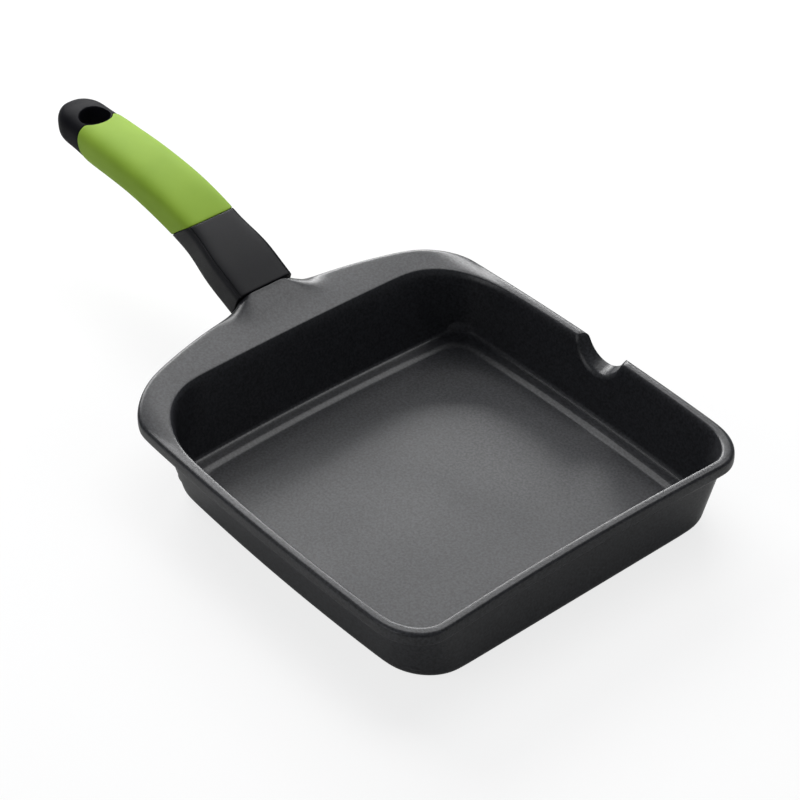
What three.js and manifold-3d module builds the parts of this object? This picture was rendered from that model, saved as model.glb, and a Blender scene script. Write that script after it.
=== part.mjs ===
// Square griddle pan: cast body, moulded handle with a soft sleeve. Millimetres, +Z up.
// The middle of the base is the origin, the handle runs out along -X, the pour notch is on +Y.
import * as THREE from "three";
import { mergeVertices } from "three/addons/utils/BufferGeometryUtils.js";
import Module from "manifold-3d";

const wasm = await Module();
wasm.setup();

// Pan body
const panHeight = 42; // table to the top of the rim
const baseHalfLength = 103.2; // middle to the foot of the wall, along the handle
const baseHalfWidth = 100.2; // middle to the foot of the wall, across
const baseRound = 7; // rounding from the underside into the wall
const floorThickness = 5;
const farFlare = 3.9; // how far the rim stands out past the foot, away from the handle
const sideFlare = 10.4; // the same at the two sides
const flangeFlare = 35.3; // the same at the handle, where the rim is a wide flange
const rimWidth = 5.6; // rim seen from above, sides and far end
const flangeWidth = 28.7; // flange seen from above
const rimEdge = 1; // rounding of the rim's edges
const collarHeight = 7; // upright band of the rim
const farOverhang = 2.9; // rim past the wall under it
const sideOverhang = 6.6;
const flangeOverhang = 23;
const underFillet = 2; // wall into the underside of the rim
const flangeRise = 6.4; // the flange's edge climbs to the handle
const lipRise = 4; // its inner edge climbs less
const riseHalfSpan = 210; // the climb is level again this far to either side
const riseRun = 44; // and this far in from the flange's edge
const sideFoot = 5; // thickness of the wall at the floor, at the two sides
const farFoot = 8; // the same away from the handle
const flangeFoot = 6.6; // the same at the handle
const ledgeWidth = 3.8; // step round the cooking floor
const ledgeHeight = 2.4;
const ledgeSlope = 5.4; // its slope down to the floor, seen from above
const wallFillet = 2.8; // inner wall into the step
const lipDrop = 3; // top of the inner wall that is cut steeper
const lipRun = 2.6;

// Bow of the sides in plan, and the length of their corners
const sideBow = 3;
const farBow = -2.3;
const flangeBow = 13.5;
const innerBow = 2;
const innerFlangeBow = 3;
const lipFlangeBow = 0.5;
const footFlangeBow = 2.4;
const rimCorner = 23;
const flangeCorner = 41; // along the sides
const flangeCornerAcross = 31; // along the flange
const lipCorner = 20;
const lipFlangeCorner = 44;
const lipFlangeCornerAcross = 38;
const wallCorner = 26; // at the foot
const wallTopCorner = 22.5; // under the rim
const wallFlangeCorner = 34; // under the flange, along the sides
const floorCorner = 17;

// Pour notch
const notchPlace = 3; // along X
const notchWidth = 28; // at the top of the rim's outer face
const notchDepth = 11;
const notchFlare = 1.5; // radius gained over the rim's width, going inward
const spoutWall = 3; // lip under the notch, outside the wall

// Base plate
const plateRadius = 76;
const plateThickness = 1.2;

// Handle
const neckAngle = 25; // degrees above level
const neckTop = 13.4; // top of the neck over the rim, where it meets the flange
const neckWidth = 35.6;
const neckHeight = 19;
const shoulderWidth = 35; // neck on its way to the sleeve
const shoulderHeight = 20;
const seamWidth = 30.4;
const seamHeight = 20.4;
const gripWidth = 32.6;
const gripHeight = 21.8;
const gripBelly = 2.2; // more below the spine than above it
const tailWidth = 29;
const tailHeight = 21;
const tailBelly = 1;
const tailRound = 15.6; // length of the tail's rounded end
const tailFall = 0.5; // 1 is a round end seen from the side, less is blunter
const handleReach = 160.2; // from the flange to the middle of the tail's rounding
const handleRise = 29.65; // the tail over the start of the neck
const neckPull = 70; // how far the neck keeps its angle
const gripPull = 80; // how far the grip keeps level
const neckSquareness = 6.5; // 2 is an ellipse
const seamSquareness = 5;
const gripSquareness = 2.8;
const holeRadius = 8.5;
const holeFromEnd = 11.4; // hole's centre, from the middle of the tail's rounding

// Sleeve
const sleeveThickness = 2.2;
const seamFromFlange = 45; // end of the sleeve on top of the neck
const seamLean = 51; // degrees from upright, leaning to the tail as it goes down
const sleeveEndFromHole = 4; // end of the sleeve at the tail, past the hole's centre to the neck
const sleeveEndBow = 9;
const holeLip = 1.2; // black ring between the hole and the sleeve

// Tongue, tang and screw
const tongueLength = 8; // from the neck into the flange
const tongueInset = 0.4; // smaller than the neck all round
const tongueSpread = 6.5; // width gained each side
const tongueDrop = 4.6; // top lost
const tongueLift = 6.9; // underside lost
const tangLength = 37;
const tangWidth = 17;
const tangHeight = 7;
const tangLift = 1; // over the middle of the neck
const screwPlace = 22; // from the front of the neck
const screwRadius = 2.5;
const headRadius = 4.4;
const headHeight = 2.2;
const driveRadius = 2;
const driveDepth = 1.4;
const washerRadius = 4.8;
const washerThickness = 1;
const washerSplit = 20; // degrees
const seatThickness = 2.5; // moulding between the tang and the washer
const screwGrip = 5; // thread in the tang
const clearance = 0.3;

// How finely curves are cut
const sideSteps = 12;
const cornerSteps = 8;
const roundSteps = 4;
const sectionSteps = 36;
const handleSteps = 26;
const tailSteps = 6;
const tongueSteps = 5;
const circleSteps = 48;
const cornerRoundness = 0.5523; // cubic that follows a quarter circle
const reach = 60; // cutters run this far past what they cut
const weld = 1e-4;

// Turn a closed mesh into a solid that can be joined and cut
function solid(geometry) {
  const plain = geometry.clone();
  plain.deleteAttribute("normal");
  plain.deleteAttribute("uv");
  const merged = mergeVertices(plain, weld);
  return new wasm.Manifold(new wasm.Mesh({
    numProp: 3,
    vertProperties: new Float32Array(merged.attributes.position.array),
    triVerts: new Uint32Array(merged.index.array),
  }));
}

function geometryOf(body) {
  const mesh = body.getMesh();
  const geometry = new THREE.BufferGeometry();
  geometry.setAttribute("position", new THREE.BufferAttribute(mesh.vertProperties, 3));
  geometry.setIndex(new THREE.BufferAttribute(mesh.triVerts, 1));
  geometry.computeVertexNormals();
  return geometry;
}

// Skin closed loops of as many points each, in order, and close both ends with a fan.
// Loops that turn to the right as they advance face outward.
function loft(loops) {
  const count = loops[0].length;
  const points = loops.flat();
  const faces = [];
  for (let ring = 0; ring + 1 < loops.length; ring += 1) {
    for (let step = 0; step < count; step += 1) {
      const next = (step + 1) % count;
      const low = ring * count;
      const high = low + count;
      faces.push(low + step, low + next, high + next);
      faces.push(low + step, high + next, high + step);
    }
  }
  const caps = [[loops[0], 0, true], [loops[loops.length - 1], points.length - count, false]];
  for (const [loop, start, first] of caps) {
    const middle = loop.reduce((sum, point) => sum.add(point), new THREE.Vector3());
    const hub = points.push(middle.divideScalar(count)) - 1;
    for (let step = 0; step < count; step += 1) {
      const here = start + step;
      const next = start + (step + 1) % count;
      faces.push(hub, first ? next : here, first ? here : next);
    }
  }
  const geometry = new THREE.BufferGeometry().setFromPoints(points);
  geometry.setIndex(faces);
  return geometry;
}

// Outline of four bowed sides with rounded corners, the same count and order of points every time
function outline(ring) {
  const far = ring.far - ring.farBow;
  const near = -(ring.near - ring.nearBow);
  const side = ring.side - ring.sideBow;
  const farEnd = ring.far - ring.farCorner;
  const nearEnd = -(ring.near - ring.nearCorner);
  const middle = (farEnd + nearEnd) / 2;
  const farHalf = ring.side - ring.farCorner;
  const nearHalf = ring.side - ring.nearCornerAcross;
  const sides = [
    [[far, -farHalf], [ring.far + ring.farBow, 0], [far, farHalf]],
    [[farEnd, side], [middle, ring.side + ring.sideBow], [nearEnd, side]],
    [[near, nearHalf], [-(ring.near + ring.nearBow), 0], [near, -nearHalf]],
    [[nearEnd, -side], [middle, -(ring.side + ring.sideBow)], [farEnd, -side]],
  ].map((ends) => ends.map((end) => new THREE.Vector2(...end)));
  const points = [];
  sides.forEach(([start, pull, end], index) => {
    const [after, afterPull] = sides[(index + 1) % sides.length];
    points.push(...new THREE.QuadraticBezierCurve(start, pull, end).getPoints(sideSteps).slice(0, -1));
    const leave = end.clone().sub(pull);
    const enter = after.clone().sub(afterPull);
    const gap = after.clone().sub(end);
    const run = gap.cross(enter) / leave.cross(enter);
    const corner = end.clone().addScaledVector(leave, run);
    const control = end.clone().lerp(corner, cornerRoundness);
    const control2 = after.clone().lerp(corner, cornerRoundness);
    points.push(...new THREE.CubicBezierCurve(end, control, control2, after).getPoints(cornerSteps).slice(0, -1));
  });
  return points;
}

// One ring of the pan: its outline at a height, with the handle side lifted by the flange's climb
function panRing(ring) {
  return outline(ring).map((point) => {
    const toHandle = THREE.MathUtils.smoothstep(-point.x, ring.near - riseRun, ring.near - ring.nearBow);
    const fade = Math.cos((Math.PI / 2) * Math.min(1, Math.abs(point.y) / riseHalfSpan));
    return new THREE.Vector3(point.x, point.y, ring.z + (ring.rise ?? 0) * toHandle * fade);
  });
}

// Ring set in from the rim's outer face by an amount on each side
const rimFar = baseHalfLength + farFlare;
const rimSide = baseHalfWidth + sideFlare;
const rimNear = baseHalfLength + flangeFlare;
function rimRing(z, inset, rise) {
  return {
    far: rimFar - inset, near: rimNear - inset, side: rimSide - inset, z, rise,
    farBow, nearBow: flangeBow, sideBow,
    farCorner: rimCorner, nearCorner: flangeCorner, nearCornerAcross: flangeCornerAcross,
  };
}

function lipRing(z, inset) {
  return {
    far: rimFar - rimWidth - inset, near: rimNear - flangeWidth - inset, side: rimSide - rimWidth - inset, z, rise: lipRise,
    farBow, nearBow: lipFlangeBow, sideBow: innerBow,
    farCorner: lipCorner, nearCorner: lipFlangeCorner, nearCornerAcross: lipFlangeCornerAcross,
  };
}

function footRing(z, inset) {
  return {
    far: baseHalfLength - farFoot - inset, near: baseHalfLength - flangeFoot - inset,
    side: baseHalfWidth - sideFoot - inset, z,
    farBow: 0, nearBow: footFlangeBow, sideBow,
    farCorner: floorCorner, nearCorner: floorCorner, nearCornerAcross: floorCorner,
  };
}

function baseRing(z, inset) {
  return {
    far: baseHalfLength - inset, near: baseHalfLength - inset, side: baseHalfWidth - inset, z,
    farBow: 0, nearBow: innerFlangeBow, sideBow,
    farCorner: wallCorner, nearCorner: wallCorner, nearCornerAcross: wallCorner,
  };
}

const collarFoot = panHeight - collarHeight;
const ledgeTop = floorThickness + ledgeHeight;
const outsideRings = [];
for (let step = 0; step <= roundSteps; step += 1) {
  const turn = (Math.PI / 2) * (step / roundSteps);
  outsideRings.push(baseRing(baseRound * (1 - Math.cos(turn)), baseRound * (1 - Math.sin(turn))));
}
outsideRings.push(
  {
    far: rimFar - farOverhang, near: rimNear - flangeOverhang, side: rimSide - sideOverhang,
    z: collarFoot - underFillet, farBow, nearBow: innerFlangeBow, sideBow,
    farCorner: wallTopCorner, nearCorner: wallFlangeCorner, nearCornerAcross: wallTopCorner,
  },
  rimRing(collarFoot, rimEdge, flangeRise),
  rimRing(collarFoot + rimEdge, 0, flangeRise),
  rimRing(panHeight - rimEdge, 0, flangeRise),
  rimRing(panHeight, rimEdge, flangeRise),
);
const insideRings = [
  lipRing(panHeight, -rimEdge),
  lipRing(panHeight - rimEdge, 0),
  lipRing(panHeight - rimEdge - lipDrop, lipRun),
];
for (let step = 0; step <= roundSteps; step += 1) {
  const turn = (Math.PI / 2) * (step / roundSteps);
  insideRings.push(footRing(ledgeTop + wallFillet * (1 - Math.sin(turn)), -wallFillet * Math.cos(turn)));
}
insideRings.push(footRing(ledgeTop, ledgeWidth), footRing(floorThickness, ledgeWidth + ledgeSlope));

// Axes of the neck: along it, and square to it upward
const tilt = THREE.MathUtils.degToRad(neckAngle);
const along = new THREE.Vector3(-Math.cos(tilt), 0, Math.sin(tilt));
const upward = new THREE.Vector3(Math.sin(tilt), 0, Math.cos(tilt));
const neckStart = new THREE.Vector3(-rimNear, 0, panHeight + neckTop).addScaledVector(upward, -neckHeight / 2);
const neckFrame = new THREE.Matrix4()
  .makeBasis(along, new THREE.Vector3(0, -1, 0), upward)
  .setPosition(neckStart);

// Shapes drawn in the neck's frame: X along it, Z square to it
function inNeck(geometry, x, z) {
  return solid(geometry.translate(x, 0, z).applyMatrix4(neckFrame));
}

function upright(radius, height, steps = circleSteps) {
  return new THREE.CylinderGeometry(radius, radius, height, steps).rotateX(Math.PI / 2);
}

// Side-view shape (X, Z) pushed out evenly to both sides of Y
function sideways(shape, width) {
  const geometry = new THREE.ExtrudeGeometry(shape, {
    depth: width, bevelEnabled: false, curveSegments: cornerSteps,
  });
  return solid(geometry.rotateX(Math.PI / 2).translate(0, width / 2, 0));
}

// Loop between an ellipse and a rectangle, as distances across and up
function squareLoop(halfWidth, top, bottom, squareness) {
  const power = 2 / squareness;
  return Array.from({ length: sectionSteps }, (_, step) => {
    const turn = (2 * Math.PI * step) / sectionSteps;
    const across = Math.sign(Math.cos(turn)) * Math.abs(Math.cos(turn)) ** power * halfWidth;
    const rise = Math.abs(Math.sin(turn)) ** power;
    return [across, Math.sin(turn) > 0 ? rise * top : -rise * bottom];
  });
}

// Body: the lofted casting, less the notch and the plate's recess, with the tongue and the tang
const notchRadius = (notchWidth ** 2 / 4 + notchDepth ** 2) / (2 * notchDepth);
const notchAxis = panHeight - notchDepth + notchRadius;
const notchSlope = notchFlare / rimWidth;
function notchCone(grow, from, to) {
  const radiusAt = (y) => notchRadius + grow + notchSlope * (rimSide - y);
  const cone = new THREE.CylinderGeometry(radiusAt(to), radiusAt(from), to - from, circleSteps);
  return solid(cone.translate(notchPlace, (from + to) / 2, notchAxis));
}
const cavity = solid(loft(insideRings.map(panRing).reverse()));
const underRim = solid(new THREE.BoxGeometry(reach, 2 * reach, reach).translate(
  notchPlace, rimSide, panHeight - rimEdge - reach / 2,
));
const spout = notchCone(spoutWall, rimSide - sideOverhang - underFillet, rimSide - clearance)
  .intersect(underRim)
  .subtract(cavity);
const recess = upright(plateRadius + clearance, 2 * (plateThickness + clearance), 2 * circleSteps);
const tangMiddle = (tangLength - tongueLength / 2) / 2;

// Tongue: starts as the neck's own section and spreads into the flange
const tongueLoops = [];
for (let step = tongueSteps; step >= 0; step -= 1) {
  const share = step / tongueSteps;
  const loop = squareLoop(
    neckWidth / 2 - tongueInset + tongueSpread * share ** 2,
    neckHeight / 2 - tongueInset - tongueDrop * share,
    neckHeight / 2 - tongueInset - tongueLift * share,
    neckSquareness,
  );
  tongueLoops.push(loop.map(([across, rise]) => (
    new THREE.Vector3(-clearance - tongueLength * share, across, rise)
  )));
}
const tongue = inNeck(loft(tongueLoops), 0, 0);
const tang = inNeck(
  new THREE.BoxGeometry(tangLength + tongueLength / 2, tangWidth, tangHeight), tangMiddle, tangLift,
);
const tangFoot = tangLift - tangHeight / 2;
const threadHole = inNeck(
  upright(screwRadius + clearance, 2 * (screwGrip + clearance)), screwPlace, tangFoot,
);
const panBody = solid(loft([...outsideRings, ...insideRings].map(panRing)))
  .add(spout)
  .subtract(notchCone(0, rimSide - reach / 4, rimSide + reach / 8))
  .subtract(solid(recess))
  .add(tongue)
  .add(tang)
  .subtract(threadHole);

const basePlate = solid(upright(plateRadius, plateThickness, 2 * circleSteps).translate(0, 0, plateThickness / 2));

// Handle: sections along a bent spine. Each size runs smoothly from one station to the next.
const tailMiddle = neckStart.clone().add(new THREE.Vector3(-handleReach, 0, handleRise));
const spine = new THREE.CubicBezierCurve3(
  neckStart,
  neckStart.clone().addScaledVector(along, neckPull),
  tailMiddle.clone().add(new THREE.Vector3(gripPull, 0, 0)),
  tailMiddle,
);
const seamPlace = 0.26;
const stations = [
  { at: 0, width: neckWidth, height: neckHeight, belly: 0, square: neckSquareness },
  { at: 0.11, width: shoulderWidth, height: shoulderHeight, belly: 0, square: neckSquareness },
  { at: seamPlace, width: seamWidth, height: seamHeight, belly: 0, square: seamSquareness },
  { at: 0.7, width: gripWidth, height: gripHeight, belly: gripBelly, square: gripSquareness },
  { at: 1, width: tailWidth, height: tailHeight, belly: tailBelly, square: gripSquareness },
];

function sizeAt(place, key) {
  const next = Math.max(1, stations.findIndex((station) => station.at >= place));
  const [before, after] = [stations[next - 1], stations[next]];
  const share = THREE.MathUtils.smoothstep(place, before.at, after.at);
  return THREE.MathUtils.lerp(before[key], after[key], share);
}

// Rounded-square loop round a place on the spine, shrunk at the tail's end
function section(place, inset, push = 0, narrow = 1, flat = 1) {
  const middle = spine.getPoint(place);
  const tangent = spine.getTangent(place);
  const lift = new THREE.Vector3(tangent.z, 0, -tangent.x);
  const halfWidth = (sizeAt(place, "width") / 2 - inset) * narrow;
  const top = (sizeAt(place, "height") / 2 - inset) * flat;
  const bottom = (sizeAt(place, "height") / 2 + sizeAt(place, "belly") - inset) * flat;
  middle.addScaledVector(tangent, push * (tailRound - inset));
  return squareLoop(halfWidth, top, bottom, sizeAt(place, "square")).map(([across, rise]) => (
    middle.clone().addScaledVector(lift, rise).add(new THREE.Vector3(0, -across, 0))
  ));
}

function handleLoft(from, inset, withTail) {
  const loops = [];
  for (let step = 0; step <= handleSteps; step += 1) {
    loops.push(section(from + (1 - from) * (step / handleSteps), inset));
  }
  for (let step = 1; withTail && step <= tailSteps; step += 1) {
    const turn = (Math.PI / 2) * (step / (tailSteps + 0.15));
    loops.push(section(1, inset, Math.sin(turn), Math.cos(turn), Math.cos(turn) ** tailFall));
  }
  return solid(loft(loops));
}

// Stretch of the handle that the sleeve covers, seen from the side; growing it leaves the end gaps
const hole = new THREE.Vector2(tailMiddle.x + holeFromEnd, 0);
function sleeveZone(grow) {
  const lean = THREE.MathUtils.degToRad(seamLean);
  const seam = new THREE.Vector2(-rimNear - seamFromFlange + grow, panHeight + neckTop + handleRise);
  const seamTop = spine.getPoint(seamPlace).z + seamHeight / 2;
  const leanAt = (z) => seam.x - (seamTop - z) * Math.tan(lean);
  const end = hole.x + sleeveEndFromHole - grow;
  const top = tailMiddle.z + reach;
  const bottom = neckStart.z - reach / 2;
  const shape = new THREE.Shape();
  shape.moveTo(leanAt(bottom), bottom);
  shape.lineTo(leanAt(seamTop), seamTop);
  shape.lineTo(seam.x, top);
  shape.lineTo(end, top);
  shape.lineTo(end, tailMiddle.z);
  shape.quadraticCurveTo(end, tailMiddle.z - tailHeight / 2, end + sleeveEndBow, tailMiddle.z - tailHeight);
  shape.closePath();
  const ring = upright(holeRadius + holeLip - grow, 4 * reach).translate(hole.x, 0, tailMiddle.z);
  return sideways(shape, 2 * reach).subtract(solid(ring));
}

const coreStart = 0.12; // the core under the sleeve begins inside the neck
const outside = handleLoft(0, 0, true);
const gripSleeve = outside
  .intersect(sleeveZone(0))
  .subtract(handleLoft(coreStart, sleeveThickness, false));
const socket = inNeck(
  new THREE.BoxGeometry(tangLength + reach, tangWidth + 2 * clearance, tangHeight + 2 * clearance),
  (tangLength - reach) / 2 + clearance, tangLift,
);
const seatTop = tangFoot - clearance;
const seatFoot = seatTop - seatThickness;
const screwBore = inNeck(upright(screwRadius + clearance, reach / 2), screwPlace, seatTop - reach / 4 + clearance);
const headBore = inNeck(upright(washerRadius + clearance, reach / 2), screwPlace, seatFoot - reach / 4);
const hangingHole = solid(upright(holeRadius, 4 * reach).translate(hole.x, 0, tailMiddle.z));
const handleCore = outside
  .subtract(sleeveZone(clearance))
  .add(handleLoft(coreStart, sleeveThickness + clearance, false))
  .subtract(hangingHole)
  .subtract(socket)
  .subtract(screwBore)
  .subtract(headBore);

// Washer under the screw's head, split on one side
const washerTop = seatFoot - clearance;
const halfSplit = THREE.MathUtils.degToRad(washerSplit / 2);
const washerShape = new THREE.Shape();
washerShape.absarc(0, 0, washerRadius, halfSplit, 2 * Math.PI - halfSplit, false);
washerShape.absarc(0, 0, screwRadius + clearance, 2 * Math.PI - halfSplit, halfSplit, true);
const lockWasher = inNeck(
  new THREE.ExtrudeGeometry(washerShape, { depth: washerThickness, bevelEnabled: false, curveSegments: circleSteps / 2 }),
  screwPlace, washerTop - washerThickness,
);

const headTop = washerTop - washerThickness - clearance;
const headFoot = headTop - headHeight;
const screwTip = tangFoot + screwGrip;
const screwProfile = [
  [0, headFoot], [headRadius - rimEdge / 2, headFoot], [headRadius, headFoot + rimEdge / 2], [headRadius, headTop],
  [screwRadius, headTop], [screwRadius, screwTip - rimEdge], [screwRadius - rimEdge, screwTip], [0, screwTip],
].map((point) => new THREE.Vector2(...point));
const drive = inNeck(upright(driveRadius, 2 * driveDepth, 6), screwPlace, headFoot);
const handleScrew = inNeck(
  new THREE.LatheGeometry(screwProfile, circleSteps / 2).rotateX(Math.PI / 2), screwPlace, 0,
).subtract(drive);

const looks = {
  coating: { color: 0x46474a, roughness: 0.5, metalness: 0.25 },
  phenolic: { color: 0x242527, roughness: 0.45, metalness: 0 },
  silicone: { color: 0x8fa944, roughness: 0.7, metalness: 0 },
  steel: { color: 0xb4b6b8, roughness: 0.35, metalness: 0.9 },
};

const part = new THREE.Group();
part.name = "griddle_pan";
const pieces = [
  ["pan_body", panBody, looks.coating],
  ["base_plate", basePlate, looks.steel],
  ["handle_core", handleCore, looks.phenolic],
  ["grip_sleeve", gripSleeve, looks.silicone],
  ["handle_screw", handleScrew, looks.steel],
  ["lock_washer", lockWasher, looks.steel],
];
for (const [name, body, look] of pieces) {
  const mesh = new THREE.Mesh(geometryOf(body), new THREE.MeshStandardMaterial(look));
  mesh.name = name;
  part.add(mesh);
}

export default part;
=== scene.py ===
# Square griddle pan on a pale floor. Sizes are in millimetres, in the CAD frame: +Z up, handle along -X.
from math import atan2, copysign, cos, pi, radians, sin, sqrt

import bmesh
import bpy
from mathutils import Matrix, Vector


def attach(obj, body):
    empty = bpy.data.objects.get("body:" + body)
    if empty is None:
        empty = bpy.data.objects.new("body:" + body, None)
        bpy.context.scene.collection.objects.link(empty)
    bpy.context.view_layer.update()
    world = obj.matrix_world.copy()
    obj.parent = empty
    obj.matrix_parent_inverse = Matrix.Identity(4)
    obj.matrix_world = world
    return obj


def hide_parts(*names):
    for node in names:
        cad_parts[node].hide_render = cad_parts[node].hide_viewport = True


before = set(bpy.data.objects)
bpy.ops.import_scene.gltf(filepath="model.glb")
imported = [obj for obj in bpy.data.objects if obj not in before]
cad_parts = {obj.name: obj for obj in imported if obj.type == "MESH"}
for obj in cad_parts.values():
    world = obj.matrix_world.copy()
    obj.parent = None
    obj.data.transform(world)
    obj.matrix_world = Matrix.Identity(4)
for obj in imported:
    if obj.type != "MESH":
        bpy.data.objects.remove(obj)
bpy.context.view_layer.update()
mm = 0.001

# Camera, at the photo's viewing angle
view = {
    "eye": (754.2, -626.5, 838.5),
    "azimuth": 51.357,
    "elevation": 38.366,
    "roll": -1.373,
    "focalPixels": 2579.775,
    "imagePixels": 800,
    "sensor": 36,
    "clipEnd": 20,  # metres
}
turn, rise, roll = (radians(view[name]) for name in ("azimuth", "elevation", "roll"))
backward = Vector((sin(turn) * cos(rise), -cos(turn) * cos(rise), sin(rise)))
level = Vector((cos(turn), sin(turn), 0))
upright = backward.cross(level)
rightward = level * cos(roll) + upright * sin(roll)
upward = upright * cos(roll) - level * sin(roll)
bpy.ops.object.camera_add()
camera = bpy.context.object
camera.data.sensor_width = view["sensor"]
camera.data.lens = view["focalPixels"] / view["imagePixels"] * view["sensor"]
camera.data.clip_end = view["clipEnd"]
camera.matrix_world = Matrix.Translation(Vector(view["eye"]) * mm) @ Matrix(
    (rightward, upward, backward)
).transposed().to_4x4()
bpy.context.scene.camera = camera
print("camera placed")


# Small tools for the modelling
def clearSelection():
    if bpy.context.object and bpy.context.object.mode != "OBJECT":
        bpy.ops.object.mode_set(mode="OBJECT")
    bpy.ops.object.select_all(action="DESELECT")


def alongCurve(points, share):  # Bezier of any order
    points = list(points)
    while len(points) > 1:
        points = [a.lerp(b, share) for a, b in zip(points, points[1:])]
    return points[0]


def smoothStep(value, low, high):
    share = min(1, max(0, (value - low) / (high - low)))
    return share * share * (3 - 2 * share)


def bearingsRound(count):
    return [2 * pi * index / count for index in range(count)]


def placeSelected(place):  # move the selected points; place gets the station and where the point is now
    mesh = bpy.context.edit_object.data
    shape = bmesh.from_edit_mesh(mesh)
    station = shape.verts.layers.int["station"]
    for vert in shape.verts:
        if vert.select:
            vert.co = place(vert[station], vert.co / mm) * mm
    bmesh.update_edit_mesh(mesh)


def startRing(name, loop):  # a filled circle, with each point numbered as its station
    clearSelection()
    bpy.ops.mesh.primitive_circle_add(vertices=len(loop), radius=mm, fill_type="NGON")
    piece = bpy.context.object
    piece.name = piece.data.name = name
    bpy.ops.object.mode_set(mode="EDIT")
    bpy.ops.mesh.select_all(action="SELECT")
    shape = bmesh.from_edit_mesh(piece.data)
    station = shape.verts.layers.int.new("station")
    for index, vert in enumerate(shape.verts):
        vert[station] = index
    bmesh.update_edit_mesh(piece.data)
    placeSelected(lambda index, old: loop[index])
    return piece


def drawThrough(loops):  # extrude the open end through each loop in turn
    for loop in loops:
        bpy.ops.mesh.extrude_region_move()
        placeSelected(lambda index, old: loop[index])


def selectFaces(test):
    bpy.ops.mesh.select_mode(type="FACE")
    bpy.ops.mesh.select_all(action="DESELECT")
    mesh = bpy.context.edit_object.data
    shape = bmesh.from_edit_mesh(mesh)
    for face in shape.faces:
        if test(face, face.calc_center_median() / mm):
            face.select_set(True)
    shape.select_flush_mode()
    bmesh.update_edit_mesh(mesh)


def closeShape():  # back to object mode with the faces turned outward
    bpy.ops.mesh.select_all(action="SELECT")
    bpy.ops.mesh.normals_make_consistent(inside=False)
    bpy.ops.object.mode_set(mode="OBJECT")


def applyModifier(piece, kind, **settings):
    clearSelection()
    piece.select_set(True)
    bpy.context.view_layer.objects.active = piece
    modifier = piece.modifiers.new(kind.lower(), kind)
    for name, value in settings.items():
        setattr(modifier, name, value)
    bpy.ops.object.modifier_apply(modifier=modifier.name)


def cutWith(piece, cutter):
    applyModifier(piece, "BOOLEAN", operation="DIFFERENCE", solver="EXACT", object=cutter)
    bpy.data.objects.remove(cutter)


def smoothPiece(piece, angle):
    clearSelection()
    piece.select_set(True)
    bpy.context.view_layer.objects.active = piece
    bpy.ops.object.shade_smooth_by_angle(angle=radians(angle))


def finishPiece(piece, node, material):
    piece.data.materials.clear()
    piece.data.materials.append(material)
    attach(piece, "root")
    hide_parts(node)
    print(piece.name, len(piece.data.polygons), "faces")


# Small tools for the materials
bumpDepth = 0.1 * mm  # the same for every finish


def hexColour(code):  # sRGB hex to linear
    channels = [int(code[place:place + 2], 16) / 255 for place in (0, 2, 4)]
    return [c / 12.92 if c <= 0.04045 else ((c + 0.055) / 1.055) ** 2.4 for c in channels] + [1]


def addNode(tree, kind, inputs=None, **settings):  # sockets are linked, values are set
    node = tree.nodes.new(kind)
    for name, value in settings.items():
        setattr(node, name, value)
    for name, value in (inputs or {}).items():
        if isinstance(value, bpy.types.NodeSocket):
            tree.links.new(value, node.inputs[name])
        else:
            node.inputs[name].default_value = value
    return node


def newMaterial(name):
    material = bpy.data.materials.new(name)
    material.use_nodes = True
    material.node_tree.nodes.clear()
    return material, material.node_tree


# PTFE coat sprayed on cast aluminium: dark grey satin, finely speckled, with a faint orange peel.
# The speckle is drawn coarser than the real one, so that it shows.
coat = {
    "dark": "212123", "pale": "343539", "grain": 1.3, "cloud": 45, "peel": 0.3,
    "speckle": (0.36, 0.64), "shine": (0.46, 0.54), "roughness": (0.285, 0.33),
}
coatMaterial, tree = newMaterial("nonstickCoat")
where = addNode(tree, "ShaderNodeTexCoord").outputs["Object"]
grain = addNode(tree, "ShaderNodeTexNoise", {
    "Vector": where, "Scale": 1 / (coat["grain"] * mm), "Detail": 3, "Roughness": 0.6,
})
cloud = addNode(tree, "ShaderNodeTexNoise", {"Vector": where, "Scale": 1 / (coat["cloud"] * mm), "Detail": 2})
speckle = addNode(tree, "ShaderNodeMapRange", {
    "Value": grain.outputs["Fac"], "From Min": coat["speckle"][0], "From Max": coat["speckle"][1],
})
speckleShine = addNode(tree, "ShaderNodeMapRange", {
    "Value": speckle.outputs["Result"], "To Min": coat["shine"][0], "To Max": coat["shine"][1],
})
coatColour = addNode(tree, "ShaderNodeMix", {
    "Factor": speckle.outputs["Result"], "A": hexColour(coat["dark"]), "B": hexColour(coat["pale"]),
}, data_type="RGBA")
coatRoughness = addNode(tree, "ShaderNodeMapRange", {
    "Value": cloud.outputs["Fac"], "From Min": 0.3, "From Max": 0.7,
    "To Min": coat["roughness"][0], "To Max": coat["roughness"][1],
})
coatBump = addNode(tree, "ShaderNodeBump", {
    "Height": grain.outputs["Fac"], "Strength": coat["peel"], "Distance": bumpDepth,
})
coatShader = addNode(tree, "ShaderNodeBsdfPrincipled", {
    "Base Color": coatColour.outputs["Result"], "Roughness": coatRoughness.outputs["Result"],
    "Normal": coatBump.outputs["Normal"], "IOR": 1.45, "Specular IOR Level": speckleShine.outputs["Result"],
})
addNode(tree, "ShaderNodeOutputMaterial", {"Surface": coatShader.outputs["BSDF"]})

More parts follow.
